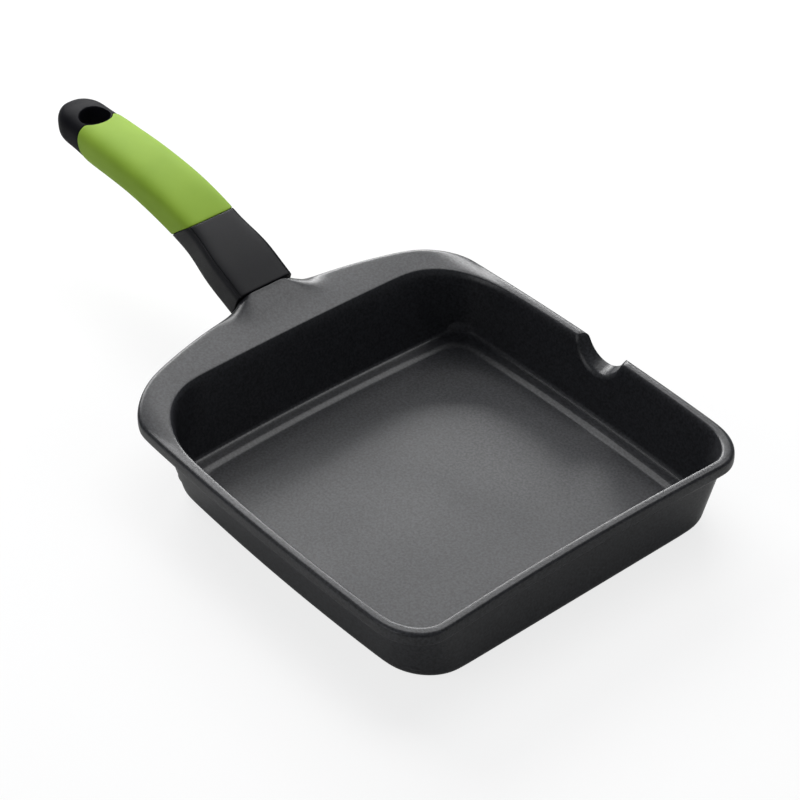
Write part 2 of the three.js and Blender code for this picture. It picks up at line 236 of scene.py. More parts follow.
# Phenolic moulding: near black, satin on the neck where the mould was polished, matt at the tail
phenolic = {
    "dark": "101013", "pale": "19191e", "grain": 0.7, "cloud": 12, "peel": 0.1, "roughness": (0.45, 0.57),
    "mattFrom": -205, "mattTo": -275, "tailShine": 0.04, "neckShine": 0.24, "plainShine": 0.16,
}
phenolicMaterial, tree = newMaterial("blackPhenolic")
where = addNode(tree, "ShaderNodeTexCoord").outputs["Object"]
grain = addNode(tree, "ShaderNodeTexNoise", {
    "Vector": where, "Scale": 1 / (phenolic["grain"] * mm), "Detail": 4,
})
cloud = addNode(tree, "ShaderNodeTexNoise", {
    "Vector": where, "Scale": 1 / (phenolic["cloud"] * mm), "Detail": 2,
})
phenolicColour = addNode(tree, "ShaderNodeMix", {
    "Factor": cloud.outputs["Fac"], "A": hexColour(phenolic["dark"]), "B": hexColour(phenolic["pale"]),
}, data_type="RGBA")
phenolicRoughness = addNode(tree, "ShaderNodeMapRange", {
    "Value": grain.outputs["Fac"], "From Min": 0.3, "From Max": 0.7,
    "To Min": phenolic["roughness"][0], "To Max": phenolic["roughness"][1],
})
along = addNode(tree, "ShaderNodeSeparateXYZ", {"Vector": where})
phenolicShine = addNode(tree, "ShaderNodeMapRange", {
    "Value": along.outputs["X"], "From Min": phenolic["mattTo"] * mm, "From Max": phenolic["mattFrom"] * mm,
    "To Min": phenolic["tailShine"], "To Max": phenolic["neckShine"],
})
phenolicBump = addNode(tree, "ShaderNodeBump", {
    "Height": grain.outputs["Fac"], "Strength": phenolic["peel"], "Distance": bumpDepth,
})
phenolicShader = addNode(tree, "ShaderNodeBsdfPrincipled", {
    "Base Color": phenolicColour.outputs["Result"], "Roughness": phenolicRoughness.outputs["Result"],
    "Normal": phenolicBump.outputs["Normal"], "IOR": 1.5,
    "Specular IOR Level": phenolicShine.outputs["Result"],
})
# holds where the link isn't kept
phenolicShader.inputs["Specular IOR Level"].default_value = phenolic["plainShine"]
addNode(tree, "ShaderNodeOutputMaterial", {"Surface": phenolicShader.outputs["BSDF"]})

# Silicone rubber, press moulded: matt leaf green with a soft bloom
silicone = {"deep": "85a830", "light": "98ba3e", "cloud": 22, "grain": 0.5, "peel": 0.08}
siliconeMaterial, tree = newMaterial("greenSilicone")
where = addNode(tree, "ShaderNodeTexCoord").outputs["Object"]
cloud = addNode(tree, "ShaderNodeTexNoise", {
    "Vector": where, "Scale": 1 / (silicone["cloud"] * mm), "Detail": 3,
})
grain = addNode(tree, "ShaderNodeTexNoise", {
    "Vector": where, "Scale": 1 / (silicone["grain"] * mm), "Detail": 2,
})
siliconeColour = addNode(tree, "ShaderNodeMix", {
    "Factor": cloud.outputs["Fac"], "A": hexColour(silicone["deep"]), "B": hexColour(silicone["light"]),
}, data_type="RGBA")
siliconeBump = addNode(tree, "ShaderNodeBump", {
    "Height": grain.outputs["Fac"], "Strength": silicone["peel"], "Distance": bumpDepth,
})
siliconeShader = addNode(tree, "ShaderNodeBsdfPrincipled", {
    "Base Color": siliconeColour.outputs["Result"], "Roughness": 0.62,
    "Normal": siliconeBump.outputs["Normal"],
    "IOR": 1.42, "Specular IOR Level": 0.2, "Sheen Weight": 0.04, "Sheen Roughness": 0.5,
})
addNode(tree, "ShaderNodeOutputMaterial", {"Surface": siliconeShader.outputs["BSDF"]})

# Ferritic steel, turned on its face: fine rings that streak the light
turned = {"colour": "b9b8b4", "ringSpacing": 1.2, "roughness": (0.28, 0.42), "peel": 0.15}
waveRings = 3.18  # rings that the wave pattern draws in a length of 1 at a scale of 1
turnedMaterial, tree = newMaterial("turnedSteel")
where = addNode(tree, "ShaderNodeTexCoord").outputs["Object"]
ringLines = addNode(tree, "ShaderNodeTexWave", {
    "Vector": where, "Scale": 1 / (turned["ringSpacing"] * mm) / waveRings, "Distortion": 0.4, "Detail": 2,
}, wave_type="RINGS", rings_direction="Z")
turnedRoughness = addNode(tree, "ShaderNodeMapRange", {
    "Value": ringLines.outputs["Fac"], "To Min": turned["roughness"][0], "To Max": turned["roughness"][1],
})
turnedBump = addNode(tree, "ShaderNodeBump", {
    "Height": ringLines.outputs["Fac"], "Strength": turned["peel"], "Distance": bumpDepth,
})
turnedShader = addNode(tree, "ShaderNodeBsdfPrincipled", {
    "Base Color": hexColour(turned["colour"]), "Metallic": 1,
    "Roughness": turnedRoughness.outputs["Result"], "Normal": turnedBump.outputs["Normal"],
})
addNode(tree, "ShaderNodeOutputMaterial", {"Surface": turnedShader.outputs["BSDF"]})

# Zinc plate on steel: bright, faintly mottled by the bath
zinc = {"colour": "bfc1c4", "mottle": 1.5, "roughness": (0.22, 0.4)}
zincMaterial, tree = newMaterial("zincPlate")
where = addNode(tree, "ShaderNodeTexCoord").outputs["Object"]
mottle = addNode(tree, "ShaderNodeTexNoise", {
    "Vector": where, "Scale": 1 / (zinc["mottle"] * mm), "Detail": 3,
})
zincRoughness = addNode(tree, "ShaderNodeMapRange", {
    "Value": mottle.outputs["Fac"], "To Min": zinc["roughness"][0], "To Max": zinc["roughness"][1],
})
zincShader = addNode(tree, "ShaderNodeBsdfPrincipled", {
    "Base Color": hexColour(zinc["colour"]), "Metallic": 1, "Roughness": zincRoughness.outputs["Result"],
})
addNode(tree, "ShaderNodeOutputMaterial", {"Surface": zincShader.outputs["BSDF"]})
print("materials mixed")

# Pan body: one casting, drawn up ring by ring from the recess in its underside
pan = {
    "height": 42,
    "baseHalfLength": 103.2, "baseHalfWidth": 100.2, "baseRound": 7, "baseFlat": (14, 7.8),
    "rimFar": 107.1, "rimNear": 138.5, "rimSide": 110.6,
    "rimWidth": 5.6, "flangeWidth": 28.7,
    "collarFoot": 35, "collarDrop": 2.4, "collarInset": 1.2,
    "farOverhang": 2.9, "sideOverhang": 6.6, "flangeOverhang": 23,
    "flangeRise": 7, "lipRise": 4, "riseHalfSpan": 210, "riseRun": 44,
    "floor": 5, "floorMiddle": 50, "ledge": 5.85, "ledgeTilt": 0.25, "ledgeMiddle": 1.2,
    "stepStart": 4, "stepRun": 4.6, "stepEnd": 2.5,
    "sideFoot": 4.4, "farFoot": 8, "flangeFoot": 6.6, "wallFillet": 2.4, "lipRun": 1.4, "lipDepth": 4.2,
    "sideBow": 2, "farBow": -2.3, "flangeBow": 13.5,
    "innerBow": 2, "innerFlangeBow": 3, "lipFlangeBow": 0.5, "footFlangeBow": 2.4,
    "rimCorner": 23, "flangeCorner": 41, "flangeCornerAcross": 31,
    "lipCorner": 20, "lipFlangeCorner": 44, "lipFlangeCornerAcross": 38,
    "wallCorner": 26, "wallTopCorner": 22.5, "wallFlangeCorner": 34, "floorCorner": 13,
    "recessRadius": 76.3, "recessDepth": 1.5,
    "notchPlace": 3, "spoutHalfWidth": 28, "spoutDrop": 9, "spoutSide": 60,
    # recess's edge: out from its radius, height
    "recessEdge": [(0, 0.5), (0.3, 0.06), (1.2, 0)],
    # under the collar: share of the way out, lift; round its edge: height over its foot, inset
    "collarUnder": [(0.16, 1.1), (0.45, 0.9), (0.85, 0.2)],
    "collarEdge": [(0.05, 0.8), (0.4, 0.2), (1.3, 0)],
    # over the rim: depth below the top, inset
    "rimEdge": [(1.9, 0), (0.7, 0.32)], "rimShoulder": (0.12, 1.35),
    "lipShoulder": (0.15, -0.9), "lipEdge": [(0.6, -0.2), (1.5, 0.15)],
    # across the rim: share of the way in, lift, swell at the neck, where its fading starts and ends
    "crown": [
        (0, 0, 2.2, 18.5, 25), (0.17, 0.1, 3.9, 15, 33), (0.5, 0.17, 1.3, 10, 42), (0.88, 0.08, 0, 10, 42),
    ],
}
farShares = [step / 10 for step in range(10)]
sideShares = [step / 16 for step in range(16)]
cornerShares = [step / 7 for step in range(7)]
# points along the flange crowd together where the tongue grows out of it
flangePlaces = [1, 0.86, 0.71, 0.57, 0.45, 0.36, 0.3, 0.262, 0.225, 0.16, 0.055]
flangeShares = [(1 - place) / 2 for place in flangePlaces]
flangeShares += [(1 + place) / 2 for place in reversed(flangePlaces[1:])]
cornerPull = 0.5523  # cubic that follows a quarter circle


def bowedOutline(far, near, side, farBow, nearBow, sideBow, farCorner, nearCorner, nearCornerAcross):
    farEnd, nearEnd = far - farCorner, nearCorner - near
    middle = (farEnd + nearEnd) / 2
    farHalf, nearHalf = side - farCorner, side - nearCornerAcross
    sides = [
        ((far - farBow, -farHalf), (far + farBow, 0), (far - farBow, farHalf)),
        ((farEnd, side - sideBow), (middle, side + sideBow), (nearEnd, side - sideBow)),
        ((nearBow - near, nearHalf), (-near - nearBow, 0), (nearBow - near, -nearHalf)),
        ((nearEnd, sideBow - side), (middle, -side - sideBow), (farEnd, sideBow - side)),
    ]
    sides = [[Vector(point) for point in ends] for ends in sides]
    points = []
    for index, shares in enumerate((farShares, sideShares, flangeShares, sideShares)):
        start, pull, end = sides[index]
        after, afterPull = sides[(index + 1) % 4][:2]
        points += [alongCurve((start, pull, end), share) for share in shares]
        leave, enter, gap = end - pull, after - afterPull, after - end
        corner = end + leave * (gap.cross(enter) / leave.cross(enter))
        bend = (end, end.lerp(corner, cornerPull), after.lerp(corner, cornerPull), after)
        points += [alongCurve(bend, share) for share in cornerShares]
    return points


def liftToHandle(outline, z, near, bow, climb):  # the flange's edge climbs to the handle
    loop = []
    for point in outline:
        toHandle = smoothStep(-point.x, near - pan["riseRun"], near - bow)
        fade = cos(pi / 2 * min(1, abs(point.y) / pan["riseHalfSpan"]))
        loop.append(Vector((point.x, point.y, z + climb * toHandle * fade)))
    return loop


def rimLoop(z, inset):
    near = pan["rimNear"] - inset
    outline = bowedOutline(
        pan["rimFar"] - inset, near, pan["rimSide"] - inset,
        pan["farBow"], pan["flangeBow"], pan["sideBow"],
        pan["rimCorner"], pan["flangeCorner"], pan["flangeCornerAcross"],
    )
    return liftToHandle(outline, z, near, pan["flangeBow"], pan["flangeRise"])


def lipLoop(z, inset):
    near = pan["rimNear"] - pan["flangeWidth"] - inset
    inset += pan["rimWidth"]
    outline = bowedOutline(
        pan["rimFar"] - inset, near, pan["rimSide"] - inset,
        pan["farBow"], pan["lipFlangeBow"], pan["innerBow"],
        pan["lipCorner"], pan["lipFlangeCorner"], pan["lipFlangeCornerAcross"],
    )
    return liftToHandle(outline, z, near, pan["lipFlangeBow"], pan["lipRise"])


def footLoop(z, inset):
    reach = pan["baseHalfLength"] - inset
    corner = pan["floorCorner"]
    outline = bowedOutline(
        reach - pan["farFoot"], reach - pan["flangeFoot"], pan["baseHalfWidth"] - pan["sideFoot"] - inset,
        0, pan["footFlangeBow"], pan["sideBow"], corner, corner, corner,
    )
    return [Vector((point.x, point.y, z)) for point in outline]


def baseLoop(z, inset):
    reach = pan["baseHalfLength"] - inset
    corner = pan["wallCorner"]
    outline = bowedOutline(
        reach, reach, pan["baseHalfWidth"] - inset,
        0, pan["innerFlangeBow"], pan["sideBow"], corner, corner, corner,
    )
    return [Vector((point.x, point.y, z)) for point in outline]


def wallLoop(z):
    outline = bowedOutline(
        pan["rimFar"] - pan["farOverhang"], pan["rimNear"] - pan["flangeOverhang"],
        pan["rimSide"] - pan["sideOverhang"],
        pan["farBow"], pan["innerFlangeBow"], pan["sideBow"],
        pan["wallTopCorner"], pan["wallFlangeCorner"], pan["wallTopCorner"],
    )
    return [Vector((point.x, point.y, z)) for point in outline]


def roundLoop(radius, z):  # circle with its points at the same bearings as the base's
    bearings = [atan2(point.y, point.x) for point in baseLoop(0, pan["baseRound"])]
    return [Vector((radius * cos(bearing), radius * sin(bearing), z)) for bearing in bearings]


def between(first, last, share, lift=0):
    return [a.lerp(b, share) + Vector((0, 0, lift)) for a, b in zip(first, last)]


def spoutUnder(loop):  # the collar hangs lower under the notch, as a pouring lip
    dropped = []
    for point in loop:
        away = min(1, abs(point.x - pan["notchPlace"]) / pan["spoutHalfWidth"])
        drop = pan["spoutDrop"] * cos(pi / 2 * away) ** 2 if point.y > pan["spoutSide"] else 0
        dropped.append(point - Vector((0, 0, drop)))
    return dropped


def swellToNeck(loop, height, start, end):  # the flange's middle swells up to meet the handle
    swollen = []
    for point in loop:
        fade = 1 - smoothStep(abs(point.y), start, end) if point.x < -pan["baseHalfLength"] else 0
        swollen.append(point + Vector((0, 0, height * fade)))
    return swollen


collarFoot, rimTop, ledge, floor = pan["collarFoot"], pan["height"], pan["ledge"], pan["floor"]
baseRound, fillet = pan["baseRound"], pan["wallFillet"]
stepStart, stepRun = pan["stepStart"], pan["stepRun"]
wallFoot = baseLoop(baseRound, 0)
wallTop = wallLoop(collarFoot - pan["collarDrop"])
collarInner = rimLoop(collarFoot, pan["collarInset"])
rimShoulder = rimLoop(rimTop - pan["rimShoulder"][0], pan["rimShoulder"][1])
lipShoulder = lipLoop(rimTop - pan["lipShoulder"][0], pan["lipShoulder"][1])
innerTop = lipLoop(rimTop - pan["lipDepth"], pan["lipRun"])
innerFoot = footLoop(ledge + fillet, -fillet)
# underside, and round its edge into the wall
panLoops = [roundLoop(pan["recessRadius"] + out, z) for out, z in pan["recessEdge"]]
panLoops += [baseLoop(0, inset) for inset in pan["baseFlat"]]
for degrees in (8, 30, 52, 74, 90):
    bend = radians(degrees)
    panLoops.append(baseLoop(baseRound * (1 - cos(bend)), baseRound * (1 - sin(bend))))
# up the wall, and out round the collar
panLoops += [between(wallFoot, wallTop, 0.12), between(wallFoot, spoutUnder(wallTop), 0.88)]
collarLoops = [wallTop] + [between(wallTop, collarInner, share, lift) for share, lift in pan["collarUnder"]]
collarLoops += [rimLoop(collarFoot + up, inset) for up, inset in pan["collarEdge"]]
panLoops += [spoutUnder(loop) for loop in collarLoops]
# over the rim, and down the inside
panLoops += [rimLoop(rimTop - depth, inset) for depth, inset in pan["rimEdge"]]
for share, lift, height, start, end in pan["crown"]:
    panLoops.append(swellToNeck(between(rimShoulder, lipShoulder, share, lift), height, start, end))
panLoops.append(lipShoulder)
panLoops += [lipLoop(rimTop - depth, inset) for depth, inset in pan["lipEdge"]]
panLoops += [innerTop, between(innerTop, innerFoot, 0.5), between(innerTop, innerFoot, 0.93)]
for degrees in (0, 30, 60, 90):
    bend = radians(degrees)
    panLoops.append(footLoop(ledge + pan["ledgeTilt"] + fillet * (1 - sin(bend)), -fillet * cos(bend)))
# the step's edge is eased over and out again, so that it is one gentle slope
panLoops.append(footLoop(ledge + pan["ledgeTilt"] / 2, pan["ledgeMiddle"]))
for share in (0, 0.15, 0.3, 0.5, 0.7, 0.85, 1):
    fall = (ledge - floor) * smoothStep(share, 0, 1)
    panLoops.append(footLoop(ledge - fall, stepStart + stepRun * share))
panLoops += [footLoop(floor, stepStart + stepRun + pan["stepEnd"]), footLoop(floor, pan["floorMiddle"])]
panBody = startRing("panBody", roundLoop(pan["recessRadius"], pan["recessDepth"]))
drawThrough(panLoops)
print("pan body drawn,", len(panLoops), "rings")

# Handle: its line, which the tongue and the tang on the pan follow too
handle = {
    "neckAngle": 25, "neckTop": 13.4, "neckPull": 70, "gripPull": 80, "reach": 160.2, "rise": 29.64,
    # distance from the flange, width, height, belly below the line, squareness
    "stations": [
        (0, 36, 19, 0, 6.5), (21.3, 36.2, 20, 0, 6.5), (45.5, 31.6, 20.4, 0, 5),
        (107.1, 32.8, 21.8, 1.6, 2.8), (138, 31.4, 21.3, 3, 2.8), (165, 29, 21, 1, 2.8),
    ],
    "points": 48, "lineSteps": 300,
    "tailRound": 15.6, "tailFall": 0.5, "holeRadius": 8.5, "holeLip": 1.2, "holePlace": 153.6,
    "seamTop": 47.9, "seamBottom": 62, "sleeveThickness": 2.2, "gap": 0.3,
    "sleeveEnd": 149.6, "sleeveEndBow": 9, "bowFrom": 0.05, "cutFrom": 0.5,
    # rounded edges: distance in from the end, inset
    "neckEdge": [(0, 0.5), (0.15, 0.15), (0.6, 0)],
    "seamEdge": [(0.4, 0), (0.1, 0.12), (0, 0.45)],
    "tailEdge": [(0, 0.75), (0.15, 0.42), (0.5, 0.3)],
    "sleeveEdge": [(0, 0.5), (0.12, 0.14), (0.5, 0)],
}
neckHeight = handle["stations"][0][2]
neckTilt = radians(handle["neckAngle"])
alongNeck = Vector((-cos(neckTilt), 0, sin(neckTilt)))
overNeck = Vector((sin(neckTilt), 0, cos(neckTilt)))
neckStart = Vector((-pan["rimNear"], 0, rimTop + handle["neckTop"])) - overNeck * neckHeight / 2
tailMiddle = neckStart + Vector((-handle["reach"], 0, handle["rise"]))
neckPull = neckStart + alongNeck * handle["neckPull"]
gripPull = tailMiddle + Vector((handle["gripPull"], 0, 0))
spine = (neckStart, neckPull, gripPull, tailMiddle)
spinePoints = [alongCurve(spine, step / handle["lineSteps"]) for step in range(handle["lineSteps"] + 1)]
spineLengths = [0]
for before, after in zip(spinePoints, spinePoints[1:]):
    spineLengths.append(spineLengths[-1] + (after - before).length)
spineEnd = spineLengths[-1]


def inNeck(distance, across, up):  # along the neck, across it, square to it
    return neckStart + alongNeck * distance + overNeck * up + Vector((0, across, 0))


def onSpine(distance):  # point on the handle's line, and the way it runs; straight past either end
    if distance <= 0:
        return neckStart + alongNeck * distance, alongNeck
    if distance >= spineEnd:
        return tailMiddle + Vector((spineEnd - distance, 0, 0)), Vector((-1, 0, 0))
    index = next(i for i, length in enumerate(spineLengths) if length >= distance)
    share = (distance - spineLengths[index - 1]) / (spineLengths[index] - spineLengths[index - 1])
    run = spinePoints[index] - spinePoints[index - 1]
    return spinePoints[index - 1] + run * share, run.normalized()


def handleSize(distance):
    stations = handle["stations"]
    for before, after in zip(stations, stations[1:]):
        if distance <= after[0] or after is stations[-1]:
            share = smoothStep(distance, before[0], after[0])
            return [a + (b - a) * share for a, b in zip(before[1:], after[1:])]


def handleLoop(distanceAt, inset, narrow=1, flat=1):  # distanceAt gives each point its place along the handle
    loop = []
    power = 2 / handleSize(distanceAt(0, 0))[3]
    for bearing in bearingsRound(handle["points"]):
        across = copysign(abs(cos(bearing)) ** power, cos(bearing))
        up = copysign(abs(sin(bearing)) ** power, sin(bearing))
        distance = distanceAt(across, up)
        width, height, belly, _ = handleSize(distance)
        middle, run = onSpine(distance)
        over = Vector((run.z, 0, -run.x))
        half = height / 2 + (belly if up < 0 else 0)
        sideways = Vector((0, across * (width / 2 - inset) * narrow, 0))
        loop.append(middle + over * (up * (half - inset) * flat) + sideways)
    return loop


def seamAt(shift):  # end of the sleeve at the neck: straight over the top, leaning back down the sides
    top, bottom = handle["seamTop"], handle["seamBottom"]
    return lambda across, up: top + (bottom - top) * (1 - up) / 2 + shift


def tailSeamAt(shift):  # end of the sleeve at the tail: cut round the hole on top, bowed at the underside
    ring = handle["holeRadius"] + handle["holeLip"]
    halfWidth = handle["stations"][-1][1] / 2
    toHole = handle["holePlace"] - handle["sleeveEnd"]

    def place(across, up):
        roundHole = sqrt(max(0, ring ** 2 - (across * halfWidth) ** 2)) - toHole
        cut = max(0, roundHole) if abs(up) > handle["cutFrom"] else 0
        bow = 0 if cut else handle["sleeveEndBow"] * max(0, handle["bowFrom"] - up) ** 2
        return handle["sleeveEnd"] - cut - bow + shift
    return place


def blendPlaces(first, last, share):
    return lambda across, up: first(across, up) * (1 - share) + last(across, up) * share


def straightAt(distance):
    return lambda across, up: distance


# Tongue on the flange, and the tang inside the neck, grown out of the pan's collar
tongue = {
    "rootHalfWidth": 26, "rootPlace": -133.5, "rootLean": -0.3,
    "halfWidth": 17.4, "top": 9.1, "bottom": -9, "edge": 0.35,
    # distance before the neck, half width, bottom, top: a hollow curve from the flange up to the neck
    "rings": [(-2.6, 20.6, -5.9, 9), (-1.3, 18.4, -8.2, 9.1), (-0.45, 17.4, -9, 9.1)],
    "tangHalfWidth": 8.5, "tangTop": 4.5, "tangBottom": -2.5, "tangLength": 37,
    "easeFrom": 15, "easeTo": 27, "easePlace": -128, "easeBefore": -1.8, "easeRounds": 3, "easeShare": 0.5,
}


def isTongueFace(face, centre):
    inRoot = abs(centre.y) < tongue["rootHalfWidth"] and centre.x < tongue["rootPlace"]
    return inRoot and centre.z > rimTop and face.normal.z > tongue["rootLean"]


def isTongueRoot(point):  # where the tongue's two edges run out into the flange
    toNeck = (point - neckStart).dot(alongNeck)
    beside = tongue["easeFrom"] < abs(point.y) < tongue["easeTo"]
    return beside and toNeck < tongue["easeBefore"] and point.x < tongue["easePlace"] and point.z > rimTop


def fitToNeck(distance, halfWidth, bottom, top):  # flatten the selection onto a cross-section of the neck
    mesh = bpy.context.edit_object.data
    shape = bmesh.from_edit_mesh(mesh)
    picked = [vert for vert in shape.verts if vert.select]
    ups = [(vert.co / mm - neckStart).dot(overNeck) for vert in picked]
    widths = [vert.co.y / mm for vert in picked]
    lowest, highest, widest = min(ups), max(ups), max(widths)
    for vert, up, width in zip(picked, ups, widths):
        height = bottom + (top - bottom) * (up - lowest) / (highest - lowest)
        vert.co = inNeck(distance, width / widest * halfWidth, height) * mm
    bmesh.update_edit_mesh(mesh)


gap, edge = handle["gap"], tongue["edge"]
tang = (tongue["tangHalfWidth"], tongue["tangBottom"], tongue["tangTop"])
tongueRings = tongue["rings"] + [
    (-gap, tongue["halfWidth"] - edge, tongue["bottom"] + edge, tongue["top"] - edge),
    (-gap, *tang), (gap, *tang), (tongue["tangLength"], *tang),
]
selectFaces(isTongueFace)
for ring in tongueRings:
    bpy.ops.mesh.extrude_region_move()
    fitToNeck(*ring)
bpy.ops.mesh.select_mode(type="VERT")
bpy.ops.mesh.select_all(action="DESELECT")
shape = bmesh.from_edit_mesh(panBody.data)
for vert in shape.verts:
    vert.select_set(isTongueRoot(vert.co / mm))
bmesh.update_edit_mesh(panBody.data)
bpy.ops.mesh.vertices_smooth(factor=tongue["easeShare"], repeat=tongue["easeRounds"])
closeShape()
applyModifier(panBody, "SUBSURF", levels=2, render_levels=2)
print("tongue and tang grown")

# Pour notch: a cone through the rim of one side, its inner edge rounded over into the wall
notch = {
    "radius": 14.4, "axisHeight": 45.4, "slope": 0.27, "edge": 2.2, "ease": 2.3, "points": 160,
    "outside": 118, "lipDepth": 4, "lipHeight": 3,
    # past the wall's face: distance out, share of the edge
    "runOut": [(-0.15, 1.05), (-12, 1.2)],
}


def innerWallAt(z):  # how far out the inner wall stands beside the notch
    foot = pan["baseHalfWidth"] - pan["sideFoot"] + fillet
    top = pan["rimSide"] - pan["rimWidth"] - pan["lipRun"]
    footHeight, topHeight = ledge + fillet, rimTop - notch["lipDepth"]
    lip = pan["lipRun"] * min(1, max(0, (z - topHeight) / notch["lipHeight"]))
    return foot + (top - foot) * min(1, (z - footHeight) / (topHeight - footHeight)) + lip


def notchLoop(yAt, grow):  # yAt gives how far out the ring stands at a height
    loop = []
    for bearing in bearingsRound(notch["points"]):
        z = notch["axisHeight"] + (notch["radius"] + grow) * sin(bearing)
        radius = notch["radius"] + notch["slope"] * (pan["rimSide"] - yAt(z)) + grow
        z = notch["axisHeight"] + radius * sin(bearing)
        out = radius * cos(bearing)
        share = min(1, max(0, (z - rimTop) / notch["ease"] + 1))  # rounds the rim's cut ends
        out += copysign(notch["ease"] * (1 - sqrt(1 - share * share)), out)
        loop.append(Vector((pan["notchPlace"] + out, yAt(z), z)))
    return loop


def besideWall(out):
    return lambda z: innerWallAt(z) + out


notchCutter = startRing("notchCutter", notchLoop(lambda z: notch["outside"], 0))
edge = notch["edge"]
for degrees in (0, 20, 40, 60, 78):
    bend = radians(degrees)
    drawThrough([notchLoop(besideWall(edge * (1 - sin(bend))), edge * (1 - cos(bend)))])
drawThrough([notchLoop(besideWall(out), edge * share) for out, share in notch["runOut"]])
closeShape()
cutWith(panBody, notchCutter)
smoothPiece(panBody, 40)
finishPiece(panBody, "pan_body", coatMaterial)

# Base plate, pressed into the underside and turned flat
plate = {
    "radius": 76, "thickness": 1.2, "edge": 0.25, "topRing": 4, "points": 120,
    "grooves": (70, 62, 54, 46, 38, 30, 22), "grooveTop": 0.6, "grooveFloor": 0.2, "grooveDepth": 0.25,
}


def plateLoop(radius, z):
    bearings = bearingsRound(plate["points"])
    return [Vector((radius * cos(bearing), radius * sin(bearing), z)) for bearing in bearings]


rim, thickness, depth = plate["radius"], plate["thickness"], plate["grooveDepth"]
plateLoops = [plateLoop(rim, thickness), plateLoop(rim, plate["edge"]), plateLoop(rim - plate["edge"], 0)]
for radius in plate["grooves"]:
    plateLoops += [plateLoop(radius + plate["grooveTop"], 0), plateLoop(radius + plate["grooveFloor"], depth)]
    plateLoops += [plateLoop(radius - plate["grooveFloor"], depth), plateLoop(radius - plate["grooveTop"], 0)]
basePlate = startRing("basePlate", plateLoop(rim - plate["topRing"], thickness))
drawThrough(plateLoops)
closeShape()
smoothPiece(basePlate, 25)
finishPiece(basePlate, "base_plate", turnedMaterial)

# Handle core: neck, a narrower bar under the sleeve, and the tail
inner = handle["sleeveThickness"] + gap
seamBack = handle["seamEdge"][0][0]
tailStep, tailInset = handle["tailEdge"][-1]
coreLoops = [handleLoop(straightAt(distance), inset) for distance, inset in handle["neckEdge"]]
for share in (0.04, 0.15, 0.3, 0.45, 0.6, 0.75, 0.88, 0.97):
    coreLoops.append(handleLoop(blendPlaces(straightAt(0), seamAt(-gap - seamBack), share), 0))
coreLoops += [handleLoop(seamAt(-gap - back), inset) for back, inset in handle["seamEdge"]]
coreLoops += [handleLoop(seamAt(-gap), inner), handleLoop(seamAt(gap), inner)]
for share in (0.1, 0.3, 0.5, 0.7, 0.9):
    coreLoops.append(handleLoop(blendPlaces(seamAt(0), tailSeamAt(0), share), inner))
coreLoops += [handleLoop(tailSeamAt(-gap), inner), handleLoop(tailSeamAt(gap), inner)]
coreLoops += [handleLoop(tailSeamAt(gap + step), inset) for step, inset in handle["tailEdge"]]
for share in (0.2, 0.45, 0.75, 1):
    toTail = blendPlaces(tailSeamAt(gap + tailStep), straightAt(spineEnd), share)
    coreLoops.append(handleLoop(toTail, tailInset * (1 - share)))
for degrees in (18, 36, 52, 66, 77, 85):
    bend = radians(degrees)
    tip = straightAt(spineEnd + handle["tailRound"] * sin(bend))
    coreLoops.append(handleLoop(tip, 0, cos(bend), cos(bend) ** handle["tailFall"]))
handleCore = startRing("handleCore", handleLoop(straightAt(0), 3))
drawThrough(coreLoops)
closeShape()
applyModifier(handleCore, "SUBSURF", levels=2, render_levels=2)
print("handle core drawn")

# Socket for the tang, seat for the screw, grooves along the neck and the hanging hole
socket = {"outside": 20}
screw = {
    "place": 22, "radius": 2.5, "points": 36,
    "headRadius": 4.4, "headTop": -6.9, "headBottom": -9.1, "headRound": 0.4,
    "tip": 2.5, "tipStart": 1.6, "tipRadius": 1.6,
    "seat": -5.3, "seatRadius": 5.1, "seatDepth": 12, "boreMiddle": -10, "boreDepth": 18,
    # six-sided hole in the head: radius, height
    "key": [(1.2, -7.7), (2, -7.7), (2, -9.0)], "keyCorners": 6, "keyFlare": 2.25,
}


def addCutter(name, add, distance, up, **size):  # a primitive set square to the neck
    clearSelection()
    add(**size)
    cutter = bpy.context.object
    cutter.name = name
    neckAxes = Matrix((alongNeck, Vector((0, -1, 0)), overNeck)).transposed().to_4x4()
    cutter.matrix_world = Matrix.Translation(inNeck(distance, 0, up) * mm) @ neckAxes @ cutter.matrix_world
    return cutter


tangHeight = tongue["tangTop"] - tongue["tangBottom"]
socketCutter = addCutter(
    "socketCutter", bpy.ops.mesh.primitive_cube_add,
    (tongue["tangLength"] - socket["outside"]) / 2, (tongue["tangTop"] + tongue["tangBottom"]) / 2, size=mm,
)
socketCutter.scale = (
    tongue["tangLength"] + socket["outside"] + 2 * gap,
    2 * (tongue["tangHalfWidth"] + gap),
    tangHeight + 2 * gap,
)
bpy.context.view_layer.update()
cutWith(handleCore, socketCutter)
boreCutter = addCutter(
    "screwCutter", bpy.ops.mesh.primitive_cylinder_add, screw["place"], screw["boreMiddle"],
    vertices=40, radius=(screw["radius"] + gap) * mm, depth=screw["boreDepth"] * mm,
)
cutWith(handleCore, boreCutter)
seatCutter = addCutter(
    "headCutter", bpy.ops.mesh.primitive_cylinder_add, screw["place"], screw["seat"] - screw["seatDepth"] / 2,
    vertices=64, radius=screw["seatRadius"] * mm, depth=screw["seatDepth"] * mm,
)
cutWith(handleCore, seatCutter)

